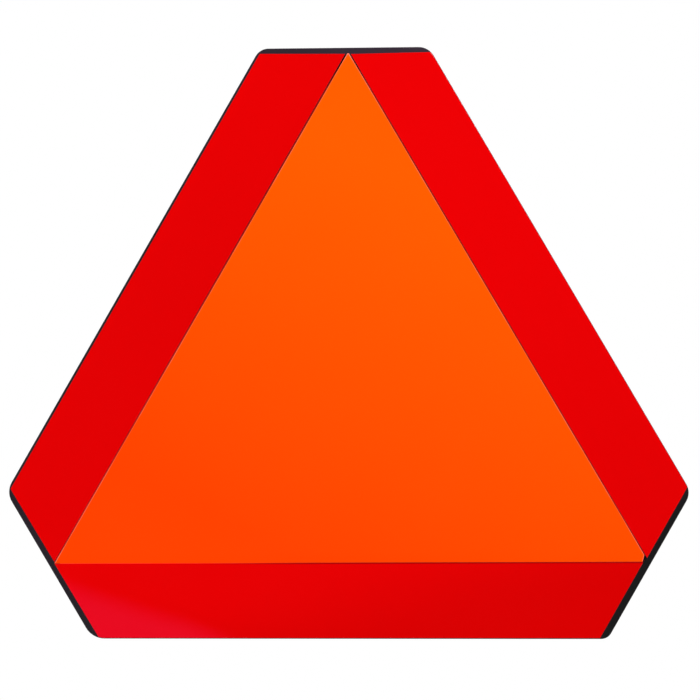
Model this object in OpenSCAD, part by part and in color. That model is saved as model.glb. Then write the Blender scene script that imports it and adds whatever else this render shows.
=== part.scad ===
// Slow moving vehicle sign: a black plastic plate, cut as a triangle with its three tips taken off,
// that carries one fluorescent orange triangle and three red reflective strips of film.
// The sign stands upright: its back face lies in the XZ plane and its front looks towards -Y.
// The origin is the point of the back face that is equally far from the three long edges.

/* [Plate] */
// Height of the plate, from the bottom edge to the top edge
plate_height = 355.6; // [280:0.1:480]
// Thickness of the plate
plate_thickness = 3; // [1.5:0.1:6]
// How far the cut at the left tip lies outside its true place
left_tip_offset = -0.45; // [-2:0.05:2]
// How far the cut at the right tip lies outside its true place
right_tip_offset = 1.35; // [-2:0.05:2]
// Angle that the cut at the left tip is turned off true, in degrees
left_tip_turn_angle = 0.7; // [-2:0.1:2]

/* [Plate corners] */
// Radius of the corner at the left end of the top edge
radius_top_left = 9; // [3:0.1:20]
// Radius of the corner at the right end of the top edge
radius_top_right = 10.5; // [3:0.1:20]
// Radius of the upper corner at the left tip
radius_left_upper = 11.7; // [3:0.1:20]
// Radius of the lower corner at the left tip
radius_left_lower = 13.1; // [3:0.1:20]
// Radius of the upper corner at the right tip
radius_right_upper = 10.4; // [3:0.1:20]
// Radius of the lower corner at the right tip
radius_right_lower = 6.8; // [3:0.1:20]

/* [Orange triangle] */
// Thickness of the orange film
orange_thickness = 0.25; // [0.1:0.05:0.6]
// Black between each short edge and the tip of a triangle that is laid in the middle
tip_margin = 2.35; // [1.5:0.05:6]
// How far the triangle is laid to the right of the middle
layout_shift = 2.4; // [-3:0.1:3]
// How far the triangle is laid above the middle
layout_rise = 0.2; // [-2:0.05:2]
// Angle that the right side of the triangle is turned off true, in degrees
right_side_turn_angle = 0.08; // [-0.5:0.01:0.5]
// Angle that the left side of the triangle is turned off true, in degrees
left_side_turn_angle = -0.09; // [-0.5:0.01:0.5]
// Angle that the bottom side of the triangle is turned off true, in degrees
bottom_side_turn_angle = 0.14; // [-0.5:0.01:0.5]
// Length that is trimmed off the top tip of the triangle
top_tip_trim = 0.8; // [0.3:0.1:4]
// Length that is trimmed off the right tip of the triangle
right_tip_trim = 3.3; // [0.5:0.1:6]
// Angle of that trim to the short edge beside it, in degrees
right_tip_trim_angle = 15; // [-20:1:20]

/* [Red strips] */
// Thickness of the red film
red_thickness = 0.4; // [0.15:0.05:0.8]
// Width of the tape that the three strips are cut from
strip_width = 45.1; // [30:0.1:60]
// Width that is trimmed off the bottom strip along the bottom edge
bottom_trim = 0.25; // [0:0.05:3]
// Width of plate that stays bare where the side strips are trimmed along the long edges
side_reveal = 0.3; // [0.1:0.05:2]
// Width of plate that stays bare along the bottom edge
bottom_reveal = 0.5; // [0.1:0.05:2]
// Seam between the triangle and the left strip
seam_left = 0.7; // [0.3:0.05:2]
// Seam between the triangle and the right strip
seam_right = 0.6; // [0.3:0.05:2]
// Seam between the triangle and the bottom strip
seam_bottom = 0.2; // [0.15:0.05:2]
// Angle that the left strip is laid off its side, in degrees: its seam widens towards the top
left_strip_angle = 0.1; // [-0.1:0.01:0.1]
// Angle that the right strip is laid off its side, in degrees: its seam widens towards the top
right_strip_angle = -0.05; // [-0.1:0.01:0.1]
// Angle that the bottom strip is laid off its side, in degrees: its seam widens towards the right
bottom_strip_angle = -0.01; // [-0.05:0.01:0.05]

/* [Strip ends] */
// Black above the left strip
margin_top_left = 3.8; // [1:0.1:8]
// Black above the right strip
margin_top_right = 4; // [1:0.1:8]
// Black beyond the lower end of the left strip
margin_left_upper = 3.9; // [1:0.1:8]
// Black beyond the left end of the bottom strip
margin_left_lower = 3.4; // [1:0.1:8]
// Black beyond the lower end of the right strip
margin_right_upper = 3.7; // [1:0.1:8]
// Black beyond the right end of the bottom strip
margin_right_lower = 4.4; // [1:0.1:8]
// Angle between the cut above the left strip and the top edge, in degrees
top_left_cut_angle = -0.6; // [-2:0.1:2]
// Angle between the cut above the right strip and the top edge, in degrees
top_right_cut_angle = 0.8; // [-2:0.1:2]
// Angle between the two cuts at the left tip and the short edge there, in degrees
left_tip_cut_angle = 0.55; // [-2:0.05:2]

/* [Colours] */
// Colour of the plate
plate_colour = "#1c191c";
// Colour of the orange film
orange_colour = "#ff5500";
// Colour of the red film
red_colour = "#e50003";

/* [Hidden] */
$fn = 96;

// Angles that the six edges face, seen from the front, counted anticlockwise from the right
right_edge_angle = 30;
top_edge_angle = 90;
left_edge_angle = 150;
left_tip_angle = 210;
bottom_edge_angle = 270;
right_tip_angle = 330;
// Angle from one edge to the next, and from flat to upright
corner_angle = 60;
upright_angle = 90;

// The bottom strip and its seam fill the border below the orange triangle
border = bottom_reveal + strip_width - bottom_trim + seam_bottom;
orange_inset = border - layout_rise;
// The long edges lie on a triangle with three equal sides. The short edges cut its tips off,
// just beyond the tips of the orange triangle.
short_side = (2 * orange_inset - tip_margin) / sin(corner_angle);
full_side = plate_height / sin(corner_angle) + short_side;
long_edge_distance = full_side * tan(corner_angle / 2) / 2;
short_edge_distance = plate_height - long_edge_distance;

// Each radius belongs to the corner between an edge and the next one
corner_radii = [
    radius_top_right,
    radius_top_left,
    radius_left_upper,
    radius_left_lower,
    radius_right_lower,
    radius_right_upper
];
// The arcs stand this little proud of the straight edges, so that the two cross in one clear point
arc_proud = 0.002;

// An edge is a line: the angle that it faces and its distance from the centre
function long_edge(angle) = [angle, long_edge_distance];
function top_edge() = [top_edge_angle, short_edge_distance];
function left_tip_edge() = [left_tip_angle + left_tip_turn_angle, short_edge_distance + left_tip_offset];
function right_tip_edge() = [right_tip_angle, short_edge_distance + right_tip_offset];
function plate_edges() = [
    long_edge(right_edge_angle),
    top_edge(),
    long_edge(left_edge_angle),
    left_tip_edge(),
    long_edge(bottom_edge_angle),
    right_tip_edge()
];
// Edges before and after a corner, and centre of the corner's arc
function edge_before(corner) = plate_edges()[corner];
function edge_after(corner) = plate_edges()[(corner + 1) % len(plate_edges())];
function corner_centre(corner) = meet(
    moved_in(edge_before(corner), corner_radii[corner]),
    moved_in(edge_after(corner), corner_radii[corner])
);

// Direction at an angle, and the point where two lines cross
function facing(angle) = [cos(angle), sin(angle)];
function meet(a, b) = [
    (a[1] * sin(b[0]) - b[1] * sin(a[0])) / sin(b[0] - a[0]),
    (b[1] * cos(a[0]) - a[1] * cos(b[0])) / sin(b[0] - a[0])
];
// The same line further in, and at an angle to itself
function moved_in(edge, distance, angle = 0) = [edge[0] + angle, edge[1] - distance];

// Middle of the film, as it was laid, and the sides of the orange triangle about it
layout_centre = [layout_shift, layout_rise];
function orange_side(angle, turn_angle) =
    moved_in(long_edge(angle), orange_inset - layout_centre * facing(angle), turn_angle);
function right_side() = orange_side(right_edge_angle, right_side_turn_angle);
function left_side() = orange_side(left_edge_angle, left_side_turn_angle);
function bottom_side() = orange_side(bottom_edge_angle, bottom_side_turn_angle);
// Line that cuts a tip off: it lies this far inside the point where two sides meet
function tip_cut(side, next_side, angle, length) = [angle, meet(side, next_side) * facing(angle) - length];

// Outline of the plate, or the same outline further in: straight edges and round corners
module plate_outline(inset = 0) {
    corners = [0 : len(corner_radii) - 1];
    polygon([
        for (corner = corners)
            for (edge = [edge_before(corner), edge_after(corner)])
                corner_centre(corner) + (corner_radii[corner] - inset - arc_proud) * facing(edge[0])
    ]);
    for (corner = corners)
        translate(corner_centre(corner)) circle(r = corner_radii[corner] - inset);
}

// Stands a flat sheet up in front of the plate's back face
module sheet(depth, thickness) {
    translate([0, -depth, 0])
        rotate([upright_angle, 0, 0])
            linear_extrude(height = thickness) children();
}

module backing_plate() {
    color(plate_colour) sheet(0, plate_thickness) plate_outline();
}

module orange_triangle() {
    top_cut = tip_cut(right_side(), left_side(), top_edge_angle, top_tip_trim);
    right_cut_angle = right_tip_angle + right_tip_trim_angle;
    right_cut = tip_cut(right_side(), bottom_side(), right_cut_angle, right_tip_trim);
    color(orange_colour)
        sheet(plate_thickness, orange_thickness)
            intersection() {
                polygon([
                    meet(right_cut, right_side()),
                    meet(right_side(), top_cut),
                    meet(top_cut, left_side()),
                    meet(left_side(), bottom_side()),
                    meet(bottom_side(), right_cut)
                ]);
                plate_outline(side_reveal);
            }
}

// One strip lies along its side of the triangle. It is cut at both ends, trimmed to the plate,
// and mitred against its neighbours if they meet beyond a tip of the triangle.
module red_strip(side, seam, strip_angle, end_before, end_after, reveal) {
    inner = moved_in(side, -seam, strip_angle);
    outer = moved_in(inner, -strip_width);
    mitre_reach = 2 * full_side;
    color(red_colour)
        sheet(plate_thickness, red_thickness)
            intersection() {
                polygon([
                    meet(inner, end_before),
                    meet(outer, end_before),
                    meet(outer, end_after),
                    meet(inner, end_after)
                ]);
                polygon([
                    layout_centre,
                    layout_centre + mitre_reach * facing(side[0] - corner_angle),
                    layout_centre + mitre_reach * facing(side[0] + corner_angle)
                ]);
                plate_outline(reveal);
            }
}

module red_strip_left() {
    top_cut = moved_in(top_edge(), margin_top_left, top_left_cut_angle);
    tip_cut = moved_in(left_tip_edge(), margin_left_upper, left_tip_cut_angle);
    red_strip(left_side(), seam_left, left_strip_angle, top_cut, tip_cut, side_reveal);
}

module red_strip_right() {
    tip_cut = moved_in(right_tip_edge(), margin_right_upper);
    top_cut = moved_in(top_edge(), margin_top_right, top_right_cut_angle);
    red_strip(right_side(), seam_right, right_strip_angle, tip_cut, top_cut, side_reveal);
}

module red_strip_bottom() {
    left_cut = moved_in(left_tip_edge(), margin_left_lower, left_tip_cut_angle);
    right_cut = moved_in(right_tip_edge(), margin_right_lower);
    red_strip(bottom_side(), seam_bottom, bottom_strip_angle, left_cut, right_cut, bottom_reveal);
}

backing_plate();
orange_triangle();
red_strip_left();
red_strip_right();
red_strip_bottom();
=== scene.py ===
# The looks of a slow moving vehicle sign: a black plastic plate that carries a fluorescent orange
# triangle and three strips of red reflective film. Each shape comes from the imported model. Here its
# cut edges are broken, two films get a rim, and plastic, glue and films get their finish.
from math import radians

import bpy
from mathutils import Matrix, Vector


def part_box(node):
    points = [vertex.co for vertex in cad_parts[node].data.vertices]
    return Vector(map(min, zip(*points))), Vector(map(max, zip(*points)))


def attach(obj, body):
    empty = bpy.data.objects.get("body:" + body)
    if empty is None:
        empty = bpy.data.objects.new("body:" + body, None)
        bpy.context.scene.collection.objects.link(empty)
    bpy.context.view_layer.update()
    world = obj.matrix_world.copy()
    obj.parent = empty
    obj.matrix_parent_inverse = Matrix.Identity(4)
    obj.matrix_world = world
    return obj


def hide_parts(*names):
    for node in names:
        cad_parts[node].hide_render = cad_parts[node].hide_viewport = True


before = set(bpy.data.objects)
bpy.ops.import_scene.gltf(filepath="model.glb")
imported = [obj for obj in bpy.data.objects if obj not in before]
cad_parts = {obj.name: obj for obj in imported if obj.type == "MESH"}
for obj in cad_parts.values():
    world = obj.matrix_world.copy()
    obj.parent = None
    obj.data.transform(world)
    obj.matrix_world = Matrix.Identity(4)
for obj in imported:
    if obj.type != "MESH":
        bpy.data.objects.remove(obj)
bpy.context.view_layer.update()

# Loose triangles are joined where their corners lie this close, and merged where they lie in one plane
JOIN_DISTANCE = 0.000001
FLAT_ANGLE = radians(0.2)
# Edges sharper than this are broken, and faces that meet at less than the smooth angle run into one
SHARP_ANGLE = radians(30)
SMOOTH_ANGLE = radians(15)
# How far the edges of the plate and of the films are broken, in this many steps
PLATE_EDGE_BREAK = 0.00025
ORANGE_EDGE_BREAK = 0.00006
RED_EDGE_BREAK = 0.00008
BREAK_STEPS = 2
# A face is a front one if its normal points this far to the front, and a cut edge if it points less
# than this far to the front or back
FRONT_FACING = 0.99
CUT_FACING = 0.5

# Plastic of the plate: deep black at its foot, with a painted sheen that makes it lighter and purple
# towards its top
PLATE_FOOT = "#060406"
PLATE_LIT_TOP = "#342534"
PLATE_BACK = "#1d1b1d"
PLATE_SCUFF = "#494749"
CUT_BLACK = "#262326"
PLATE_SHINE = 0.35
# The back's finish starts between these places along Y, inside the plate
BACK_START = (-0.002, -0.001)
# Height above which the plate's painted sheen is stronger on its right, and below which it is stronger
# on its left. This leaning of the painted sheen grows no further once a place lies this far below that
# height
SHEEN_TURN = -0.03
LOWEST_LEAN = -0.05
# Glue between the films, painted with a glow of the films' light that falls into the seams: nearly black
# at the tips, dark red along the sides, and bright red in the left half of the bottom seam. The painted
# glow is this strong
TIP_GLUE = "#0a0304"
SIDE_SEAM_GLOW = "#660507"
FOOT_SEAM_GLOW = "#ff3010"
SEAM_PAINTED_GLOW = 0.6
# The films are laid about this centre. Their seams reach this far out from it towards the long
# edges, and this far towards the tips. The glue ends softly over these distances
LAYOUT_CENTRE = (0.0024, 0, 0.0002)
SEAM_REACH = 0.104
SEAM_END = 0.2026
SEAM_SOFTNESS = 0.0008
TIP_SOFTNESS = 0.001
# The two upper sides of the triangle face this far sideways and this far upward
SIDE_FACING = (0.866, 0.5)
# The glue's painted glow turns dark from here to here out from the centre, and bright red from here to
# here down and to the left
TIP_DISTANCES = (0.18, 0.2)
FOOT_HEIGHTS = (-0.1012, -0.102)
FOOT_PLACES = (-0.02, -0.08)

# How strongly both kinds of film mirror what stands around them
FILM_SHINE = 0.2

# Orange film: painted redder and darker at the foot of the triangle and yellower towards its top, as
# painted light
ORANGE_SHADED_FOOT = "#f83e00"
ORANGE_LIT_TOP = "#f85b00"
ORANGE_CUT = "#ff8a5c"
ORANGE_GLOW = "#ff4000"
ORANGE_GLOW_LEVEL = 0.15
# Rim of the orange film, with a painted highlight along its cut edge, most of all at the top tip and the
# left tip, from here to here
ORANGE_RIM_WIDTH = 0.0004
ORANGE_RIM_GLINT = "#ff9484"
TOP_TIP_HEIGHTS = (0.198, 0.2035)
LEFT_TIP_PLACES = (-0.164, -0.174)

# Red film: tones at the two ends of each strip, painted lighter at the tops and darker at the bottom
# strip's right end as painted light, and the tone of its cut edges
RED_LEFT_SHADED_FOOT = "#e20002"
RED_LEFT_LIT_TOP = "#e90002"
RED_RIGHT_SHADED_FOOT = "#e30002"
RED_RIGHT_LIT_TOP = "#ed0003"
RED_BOTTOM_LIT_LEFT = "#e70002"
RED_BOTTOM_SHADED_RIGHT = "#da0001"
RED_CUT = "#c94a50"
# The strips' painted light makes them lighter up the side strips, and darker to the right and down the
# bottom strip, from here to here
UPWARD = (0, 0, 1)
LEFT_TONE_RANGE = (0.05, 0.22)
RIGHT_TONE_RANGE = (-0.1, 0.15)
RIGHT_AND_DOWN = (1, 0, -4)
BOTTOM_TONE_RANGE = (0.39, 0.63)
# Painted sheen near the sign's left foot, a pale reflection where the film is also a little rougher: its
# direction, and where it sets in
RED_SHEEN = "#ea0721"
SHEEN_SLOPE = (-0.309, 0, -0.951)
SHEEN_RANGE = (0.155, 0.170)
SHEEN_PLACES = (-0.055, -0.085)
# Upper rim of the bottom strip, with painted shade that darkens it from left to right between these
# places, where the triangle's edge rides up against it
RED_RIM_WIDTH = 0.00055
RED_RIM_SHADE = "#ac0003"
RED_RIM_SHADE_PLACES = (-0.13, 0)
# Width of the glass beads in the red film
BEAD_WIDTH = 0.00035

# Camera: lens in mm, place in metres, and turns in degrees
LENS = 85.1
CAMERA_PLACE = (0.0352, -0.9970, 0.0004)
CAMERA_YAW = 1.865
CAMERA_PITCH = 1.415
CAMERA_ROLL = -0.226

# Studio: the floor and the dark card run out into white between these distances from their middles
FLOOR_HEIGHT = -0.6
FLOOR_SIZE = 9
FLOOR_FADE = (1.1, 2.1)
FLOOR_PALE = "#f2f2f2"
FLOOR_PALER = "#f5f5f5"
CARD_PLACE = (-0.05, -1.7, 0.1)
CARD_SIZE = 4.4
CARD_FADE = (0.9, 2.2)
CARD_BLACK = "#101010"
WORLD_LEVEL = 0.4
# Lamps: place, target, width and power
LAMPS = {
    "lamp_right": ((1.1, -1.9, 1.5), (0, 0, 0.05), 1.2, 27.4),
    "lamp_left": ((-1.4, -1.8, 0.5), (0, 0, 0), 1.0, 13.7),
    "lamp_back": ((0.7, 1.2, 1.2), (0, 0, 0), 0.8, 24),
}
BLACK = "#000000"
WHITE = "#ffffff"


def colour(code):
    """Turns a written colour into the linear numbers that a shader takes."""
    channels = [int(code[i:i + 2], 16) / 255 for i in (1, 3, 5)]
    return [c / 12.92 if c <= 0.04045 else ((c + 0.055) / 1.055) ** 2.4 for c in channels] + [1]


class Amount:
    """A shader value that takes part in plain arithmetic: each operator adds its Math node."""

    def __init__(self, finish, socket):
        self.finish = finish
        self.socket = socket

    def work_out(self, operation, *values):
        return self.finish.node("ShaderNodeMath", {"operation": operation}, dict(enumerate(values)))

    def __add__(self, other):
        return self.work_out("ADD", self, other)

    def __radd__(self, other):
        return self.work_out("ADD", other, self)

    def __sub__(self, other):
        return self.work_out("SUBTRACT", self, other)

    def __rsub__(self, other):
        return self.work_out("SUBTRACT", other, self)

    def __mul__(self, other):
        return self.work_out("MULTIPLY", self, other)

    def __rmul__(self, other):
        return self.work_out("MULTIPLY", other, self)


class Finish:
    """One material, or the world: its nodes, and the patterns that the sign's surfaces share."""

    def __init__(self, name, kind=bpy.data.materials):
        self.block = kind.new(name)
        self.block.use_nodes = True
        self.tree = self.block.node_tree
        self.end = next(node for node in self.tree.nodes if node.type.startswith("OUTPUT"))
        self.shader = self.end.inputs["Surface"].links[0].from_node
        self.place = self.node("ShaderNodeTexCoord", output="Object")

    def fill(self, socket, value):
        if isinstance(value, Amount):
            self.tree.links.new(value.socket, socket)
        else:
            socket.default_value = value

    def node(self, kind, settings=None, sockets=None, output=0):
        """Adds a node. Its settings come first, then the values or links of its sockets."""
        node = self.tree.nodes.new(kind)
        for name, setting in (settings or {}).items():
            setattr(node, name, setting)
        for name, value in (sockets or {}).items():
            self.fill(node.inputs[name], value)
        return Amount(self, node.outputs[output])

    def along(self, axis):
        """How far a point lies along X, Y or Z, in metres."""
        return self.node("ShaderNodeSeparateXYZ", sockets={"Vector": self.place}, output=axis)

    def along_slope(self, slope):
        """How far a point lies along X, Y and Z, each times its part of the slope."""
        sockets = {0: self.place, 1: slope}
        return self.node("ShaderNodeVectorMath", {"operation": "DOT_PRODUCT"}, sockets, output="Value")

    def distance(self, point=(0, 0, 0)):
        """How far a place lies from a point, in metres."""
        sockets = {0: self.place, 1: point}
        return self.node("ShaderNodeVectorMath", {"operation": "DISTANCE"}, sockets, output="Value")

    def noise(self, size, detail=2, stretch=(1, 1, 1), turn=0):
        """Soft noise, 0 to 1, whose blots are about as wide as the size, in metres. It may be turned
        in the plane of the sign and stretched."""
        turned = self.node(
            "ShaderNodeMapping", sockets={"Vector": self.place, "Rotation": (0, radians(turn), 0)}
        )
        spread = self.node("ShaderNodeMapping", sockets={"Vector": turned, "Scale": stretch})
        return self.node(
            "ShaderNodeTexNoise", sockets={"Vector": spread, "Scale": 1 / size, "Detail": detail}
        )

    def ramp(self, value, start, end):
        """0 before the start, 1 after the end, and smooth between them."""
        sockets = {"Value": value, "From Min": start, "From Max": end}
        return self.node("ShaderNodeMapRange", {"interpolation_type": "SMOOTHSTEP"}, sockets)

    def blend(self, share, first, second):
        """Mixes two colours: none of the second at 0, and nothing else at 1."""
        sockets = {"Factor": share, 6: first, 7: second}
        return self.node("ShaderNodeMix", {"data_type": "RGBA"}, sockets, output=2)

    def relief(self, height, depth, strength):
        """Raises the surface by the height, 0 to 1, times the depth, in metres."""
        sockets = {"Height": height, "Distance": depth, "Strength": strength}
        self.surface(Normal=self.node("ShaderNodeBump", sockets=sockets))

    def surface(self, **sockets):
        for name, value in sockets.items():
            self.fill(self.shader.inputs[name.replace("_", " ")], value)

    def white_when_seen(self, emitter="ShaderNodeEmission", share=1):
        """Plain white to the camera and in gloss and glass, and the finish itself to all other light."""
        seen = self.node("ShaderNodeLightPath", output="Is Camera Ray")
        rays = seen.socket.node.outputs
        for ray in ("Is Glossy Ray", "Is Transmission Ray"):
            seen = seen + Amount(self, rays[ray])
        white = self.node(emitter, sockets={"Color": colour(WHITE), "Strength": 1})
        plain = Amount(self, self.shader.outputs[0])
        mixed = self.node("ShaderNodeMixShader", sockets={0: seen * share, 1: plain, 2: white})
        self.fill(self.end.inputs["Surface"], mixed)


def seam_glue_and_glow(finish, across, upward, back):
    """Glue that shows in the seams between the films: where it lies, and the tone of its painted glow.
    """
    sideways = across - LAYOUT_CENTRE[0]
    side_reach = SIDE_FACING[0] * sideways.work_out("ABSOLUTE", sideways) + SIDE_FACING[1] * upward
    reach = side_reach.work_out("MAXIMUM", side_reach, 0 - upward)
    glue = finish.ramp(reach, SEAM_REACH + SEAM_SOFTNESS, SEAM_REACH) * (1 - back)
    from_centre = finish.distance(LAYOUT_CENTRE)
    glue = glue * finish.ramp(from_centre, SEAM_END + TIP_SOFTNESS, SEAM_END)
    at_tip = finish.ramp(from_centre, *TIP_DISTANCES)
    at_foot = finish.ramp(upward, *FOOT_HEIGHTS) * finish.ramp(across, *FOOT_PLACES)
    tone = finish.blend(at_tip, colour(SIDE_SEAM_GLOW), colour(TIP_GLUE))
    return glue, finish.blend(at_foot, tone, colour(FOOT_SEAM_GLOW))


def black_plastic():
    """Satin plastic sheet. Its front is rolled smooth, painted with a sheen that lightens it towards its
    top, and carries glue between the films, painted with a glow of the films' light. Its back has a
    coarser grain and faint rolling streaks, and it carries the scuffs and scratches of use."""
    finish = Finish("black_plastic")
    across, upward = finish.along("X"), finish.along("Z")
    back = finish.ramp(finish.along("Y"), *BACK_START)
    glue, seam_glow_tone = seam_glue_and_glow(finish, across, upward, back)
    grain = finish.noise(0.0007, detail=3)
    coarse_grain = finish.noise(0.0022, detail=3)
    unevenness = finish.noise(0.05)
    streaks = finish.noise(0.003, detail=3, stretch=(0.03, 1, 1))
    scuffs = finish.ramp(finish.noise(0.03, detail=6, stretch=(1, 1, 0.5), turn=20), 0.58, 0.8)
    scratches = finish.ramp(finish.noise(0.0018, stretch=(1, 1, 0.02), turn=-35), 0.7, 0.78)
    scratches = scratches + finish.ramp(finish.noise(0.0018, stretch=(1, 1, 0.02), turn=50), 0.7, 0.78)
    wear = (0.4 * scuffs + 0.4 * scratches) * (0.15 + 0.85 * back)
    # Painted sheen: the front is painted lighter towards its top, and towards its right high up and its
    # left low down, with some random unevenness
    height = upward - SHEEN_TURN
    lean = 19.5 * height.work_out("MAXIMUM", height, LOWEST_LEAN) * across
    painted_sheen = 0.21 + 2.2 * height + lean + 0.1 * unevenness + 0.4 * back
    lit_top_tone = finish.blend(back, colour(PLATE_LIT_TOP), colour(PLATE_BACK))
    tone = finish.blend(painted_sheen, colour(PLATE_FOOT), lit_top_tone)
    tone = finish.blend(glue, tone, seam_glow_tone)
    finish.surface(
        Base_Color=finish.blend(wear, tone, colour(PLATE_SCUFF)),
        Roughness=0.22 + 0.14 * unevenness + 0.08 * streaks + 0.06 * grain + 0.2 * wear - 0.12 * glue,
        Specular_IOR_Level=PLATE_SHINE,
        # Painted glow: the glue in the seams emits the red and orange light of the films around it
        Emission_Color=finish.blend(glue, colour(BLACK), seam_glow_tone),
        Emission_Strength=SEAM_PAINTED_GLOW,
    )
    back_relief = coarse_grain + 0.5 * streaks - 0.3 * scratches
    finish.relief(0.3 * grain + back * back_relief, depth=0.00016, strength=0.6)
    return finish.block


def cut_plastic():
    """Edge of the plastic sheet: fine marks of the cut run from its front to its back."""
    finish = Finish("cut_plastic")
    marks = finish.noise(0.0012, detail=3, stretch=(1, 0.08, 1))
    finish.surface(
        Base_Color=finish.blend(marks, colour(PLATE_FOOT), colour(CUT_BLACK)),
        Roughness=0.4 + 0.25 * marks,
        Specular_IOR_Level=PLATE_SHINE,
    )
    finish.relief(marks, depth=0.0001, strength=0.7)
    return finish.block


def orange_film(name, at_rim=False):
    """Fluorescent film: a smooth glossy face whose dye glows, with the faint ripple of soft vinyl. Its
    tone is painted yellower towards its top right, as painted light. Along its rim a painted highlight
    shows pale in places, and most of all at the sharp tips."""
    finish = Finish(name)
    clouds = finish.noise(0.07)
    ripple = finish.noise(0.005)
    # Painted light: the tone turns yellower towards the top right, where the light falls brighter
    height = 0.435 + 1.8 * finish.along("X") + 3.9 * finish.along("Z") + 0.06 * (clouds - 0.5)
    tone = finish.blend(height, colour(ORANGE_SHADED_FOOT), colour(ORANGE_LIT_TOP))
    if at_rim:
        # Painted highlight: pale glints along the rim, strongest at the top tip and the left tip
        rim_glint = 0.1 + 0.2 * finish.ramp(finish.noise(0.02, detail=3), 0.35, 0.6)
        top_tip = finish.ramp(finish.along("Z"), *TOP_TIP_HEIGHTS)
        left_tip = finish.ramp(finish.along("X"), *LEFT_TIP_PLACES)
        tone = finish.blend(rim_glint + 0.7 * top_tip + 0.2 * left_tip, tone, colour(ORANGE_RIM_GLINT))
    finish.surface(
        Base_Color=tone,
        Roughness=0.06 + 0.05 * clouds,
        Specular_IOR_Level=FILM_SHINE,
        Emission_Color=colour(ORANGE_GLOW),
        Emission_Strength=ORANGE_GLOW_LEVEL,
    )
    finish.relief(ripple, depth=0.00004, strength=0.5)
    return finish.block


def red_film(name, first, second, slope, tone_range, at_rim=False):
    """Reflective film: a glossy face over fine glass beads. Its tone changes along a slope as painted
    light, and a painted sheen lies near the sign's left foot.
    """
    finish = Finish(name)
    beads = finish.node(
        "ShaderNodeTexVoronoi", sockets={"Vector": finish.place, "Scale": 1 / BEAD_WIDTH}
    )
    clouds = finish.noise(0.06)
    ripple = finish.noise(0.004)
    # Painted light: the tone changes along the slope as the light falls on the strip
    share = finish.ramp(finish.along_slope(slope) + 0.01 * (clouds - 0.5), *tone_range)
    tone = finish.blend(share, colour(first), colour(second))
    # Painted sheen: a pale reflection painted into the film near the sign's left foot, which also makes
    # it a little rougher there
    slant = finish.along_slope(SHEEN_SLOPE) + 0.006 * (clouds - 0.5)
    sheen_and_haze = finish.ramp(slant, *SHEEN_RANGE) * finish.ramp(finish.along("X"), *SHEEN_PLACES)
    tone = finish.blend(sheen_and_haze * 0.9, tone, colour(RED_SHEEN))
    if at_rim:
        # Painted shade: the bottom strip's upper rim darkens from left to right, where it meets the
        # triangle
        tone = finish.blend(finish.ramp(finish.along("X"), *RED_RIM_SHADE_PLACES), tone, colour(RED_RIM_SHADE))
    finish.surface(
        Base_Color=tone,
        Roughness=0.06 + 0.05 * clouds + 0.05 * sheen_and_haze,
        Specular_IOR_Level=FILM_SHINE,
    )
    finish.relief(ripple + 0.3 * beads, depth=0.00003, strength=0.5)
    return finish.block


def film_cut(name, first, second, fleck_width, roughness):
    """Cut edge of a film, where its clear layer, its beads or its backing show as pale flecks."""
    finish = Finish(name)
    flecks = finish.noise(fleck_width)
    finish.surface(
        Base_Color=finish.blend(flecks, colour(first), colour(second)),
        Roughness=roughness + 0.1 * flecks,
    )
    return finish.block


def pick_only(piece):
    bpy.ops.object.select_all(action="DESELECT")
    piece.select_set(True)
    bpy.context.view_layer.objects.active = piece


def front_faces(piece):
    return [face for face in piece.data.polygons if face.normal.y < -FRONT_FACING]


def pick_front(piece):
    """Selects the largest front face alone, and returns its corners in their order around it."""
    pick_only(piece)
    bpy.ops.object.mode_set(mode="EDIT")
    bpy.ops.mesh.select_mode(type="FACE")
    bpy.ops.mesh.select_all(action="DESELECT")
    bpy.ops.object.mode_set(mode="OBJECT")
    front = max(front_faces(piece), key=lambda face: face.area)
    front.select = True
    corners = [piece.data.vertices[index].co.copy() for index in front.vertices]
    bpy.ops.object.mode_set(mode="EDIT")
    return corners


def dress(piece, faces, finish):
    piece.data.materials.append(finish)
    for face in faces:
        face.material_index = len(piece.data.materials) - 1


def dress_rim(piece, width, finish, lowest):
    """Insets the front face and dresses the faces of the rim around it that lie above the lowest
    height."""
    pick_front(piece)
    bpy.ops.mesh.inset(thickness=width, depth=0)
    bpy.ops.object.mode_set(mode="OBJECT")
    rim = [face for face in front_faces(piece) if not face.select and face.center.z > lowest]
    dress(piece, rim, finish)


def dress_upper_rim(piece, width, finish):
    """Cuts the front face in two, this far below its upper edge, and dresses the part above the cut."""
    corners = pick_front(piece)
    edges = zip(corners, corners[1:] + corners[:1])
    start, end = max(edges, key=lambda edge: edge[0].z + edge[1].z)
    rightward = (end - start) * (1 if end.x > start.x else -1)
    downward = rightward.cross(Vector((0, -1, 0))).normalized()
    bpy.ops.mesh.bisect(plane_co=start + width * downward, plane_no=downward)
    bpy.ops.object.mode_set(mode="OBJECT")
    dress(piece, [max(front_faces(piece), key=lambda face: face.center.z)], finish)


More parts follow.
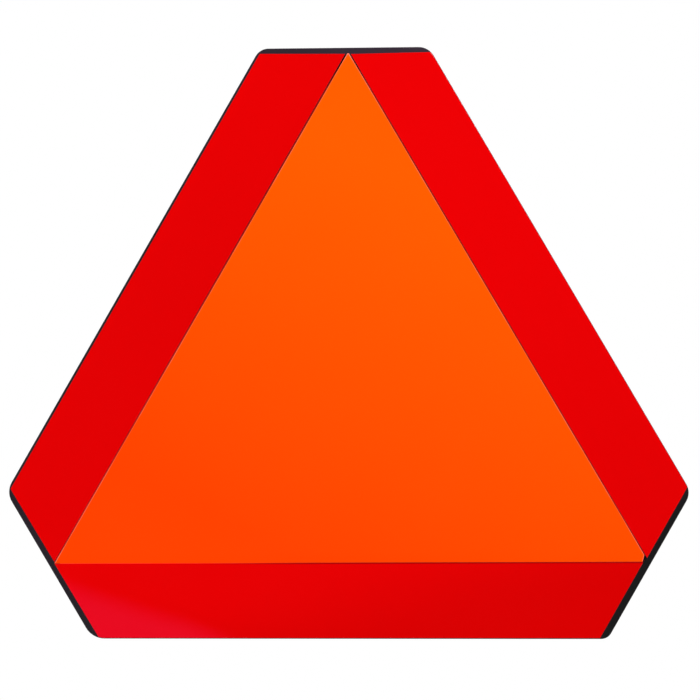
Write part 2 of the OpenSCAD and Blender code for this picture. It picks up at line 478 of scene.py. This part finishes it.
def cut_piece(name, node, edge_break, face_finish, cut_finish):
    """Makes whole faces of a CAD node's triangles, breaks their edges, and dresses face and cut."""
    piece = bpy.data.objects.new(name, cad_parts[node].data.copy())
    bpy.context.scene.collection.objects.link(piece)
    pick_only(piece)
    bpy.ops.mesh.customdata_custom_splitnormals_clear()
    bpy.ops.object.mode_set(mode="EDIT")
    bpy.ops.mesh.select_all(action="SELECT")
    bpy.ops.mesh.remove_doubles(threshold=JOIN_DISTANCE)
    bpy.ops.mesh.dissolve_limited(angle_limit=FLAT_ANGLE)
    bpy.ops.object.mode_set(mode="OBJECT")
    bevel = piece.modifiers.new("edge_break", "BEVEL")
    bevel.width = edge_break
    bevel.segments = BREAK_STEPS
    bevel.limit_method = "ANGLE"
    bevel.angle_limit = SHARP_ANGLE
    bpy.ops.object.modifier_apply(modifier=bevel.name)
    bpy.ops.object.shade_smooth_by_angle(angle=SMOOTH_ANGLE)
    piece.data.materials.clear()
    piece.data.materials.append(face_finish)
    piece.data.materials.append(cut_finish)
    for face in piece.data.polygons:
        face.material_index = int(abs(face.normal.y) < CUT_FACING)
    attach(piece, "root")
    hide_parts(node)
    return piece


def plate():
    cut_piece(
        "plate", "backing_plate", PLATE_EDGE_BREAK, black_plastic(), cut_plastic()
    )


def orange_triangle():
    """Triangle of orange film, with a rim of painted highlight along all of its edges but the bottom
    one.
    """
    face = orange_film("orange_film")
    edge = film_cut("orange_cut", ORANGE_LIT_TOP, ORANGE_CUT, fleck_width=0.0015, roughness=0.4)
    piece = cut_piece("orange_film", "orange_triangle", ORANGE_EDGE_BREAK, face, edge)
    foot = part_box("orange_triangle")[0][2] + 3 * ORANGE_RIM_WIDTH
    dress_rim(piece, ORANGE_RIM_WIDTH, orange_film("orange_rim_glint", at_rim=True), foot)


def red_strips():
    """Three strips of red film. The bottom one has painted shade along its upper edge."""
    edge = film_cut("red_cut", RED_LEFT_LIT_TOP, RED_CUT, fleck_width=0.0012, roughness=0.45)
    left_tones = (RED_LEFT_SHADED_FOOT, RED_LEFT_LIT_TOP, UPWARD, LEFT_TONE_RANGE)
    right_tones = (RED_RIGHT_SHADED_FOOT, RED_RIGHT_LIT_TOP, UPWARD, RIGHT_TONE_RANGE)
    bottom_tones = (RED_BOTTOM_LIT_LEFT, RED_BOTTOM_SHADED_RIGHT, RIGHT_AND_DOWN, BOTTOM_TONE_RANGE)
    sides = {"left": left_tones, "right": right_tones, "bottom": bottom_tones}
    strips = {}
    for side, tones in sides.items():
        face = red_film("red_film_" + side, *tones)
        strips[side] = cut_piece(
            side + "_strip", "red_strip_" + side, RED_EDGE_BREAK, face, edge
        )
    rim = red_film("red_rim_shade", *bottom_tones, at_rim=True)
    dress_upper_rim(strips["bottom"], RED_RIM_WIDTH, rim)


def lamp(name, place, target, size, power):
    """Soft square lamp that looks at the target."""
    light = bpy.data.lights.new(name, "AREA")
    light.size = size
    light.energy = power
    holder = bpy.data.objects.new(name, light)
    bpy.context.scene.collection.objects.link(holder)
    holder.location = place
    holder.rotation_euler = (Vector(target) - Vector(place)).to_track_quat("-Z", "Y").to_euler()


def pale_floor():
    """Pale floor that takes the sign's shadow and runs out into white further off."""
    bpy.ops.object.select_all(action="DESELECT")
    bpy.ops.mesh.primitive_plane_add(size=FLOOR_SIZE, location=(0, 0, FLOOR_HEIGHT))
    floor = bpy.context.object
    floor.name = "floor"
    finish = Finish("pale_floor")
    tone = finish.blend(finish.noise(0.4), colour(FLOOR_PALE), colour(FLOOR_PALER))
    finish.surface(Base_Color=tone, Roughness=0.8)
    finish.white_when_seen(share=finish.ramp(finish.distance(), *FLOOR_FADE))
    floor.data.materials.append(finish.block)


def dark_card():
    """Dark card behind the camera. Only the glossy face sees it, and stays free of glare."""
    bpy.ops.object.select_all(action="DESELECT")
    bpy.ops.mesh.primitive_plane_add(size=CARD_SIZE, location=CARD_PLACE, rotation=(radians(90), 0, 0))
    card = bpy.context.object
    card.name = "dark_card"
    finish = Finish("dark_card")
    finish.surface(Base_Color=colour(CARD_BLACK), Roughness=0.9, Specular_IOR_Level=0)
    finish.white_when_seen(share=finish.ramp(finish.distance(), *CARD_FADE))
    card.data.materials.append(finish.block)
    card.visible_camera = False
    card.visible_diffuse = False
    card.visible_shadow = False


def studio():
    """White surroundings that light the sign softly, a floor, a dark card and three lamps."""
    world = Finish("studio", bpy.data.worlds)
    world.surface(Color=colour(WHITE), Strength=WORLD_LEVEL)
    world.white_when_seen("ShaderNodeBackground")
    bpy.context.scene.world = world.block
    bpy.context.scene.view_settings.view_transform = "Standard"
    pale_floor()
    dark_card()
    for name, values in LAMPS.items():
        lamp(name, *values)


def camera():
    """Camera at the photograph's place, which looks along +Y with small turns."""
    lens = bpy.data.cameras.new("camera")
    lens.lens = LENS
    holder = bpy.data.objects.new("camera", lens)
    bpy.context.scene.collection.objects.link(holder)
    holder.matrix_world = (
        Matrix.Translation(CAMERA_PLACE)
        @ Matrix.Rotation(radians(CAMERA_YAW), 4, "Z")
        @ Matrix.Rotation(radians(90 + CAMERA_PITCH), 4, "X")
        @ Matrix.Rotation(radians(CAMERA_ROLL), 4, "Z")
    )
    bpy.context.scene.camera = holder


plate()
orange_triangle()
red_strips()
studio()
camera()
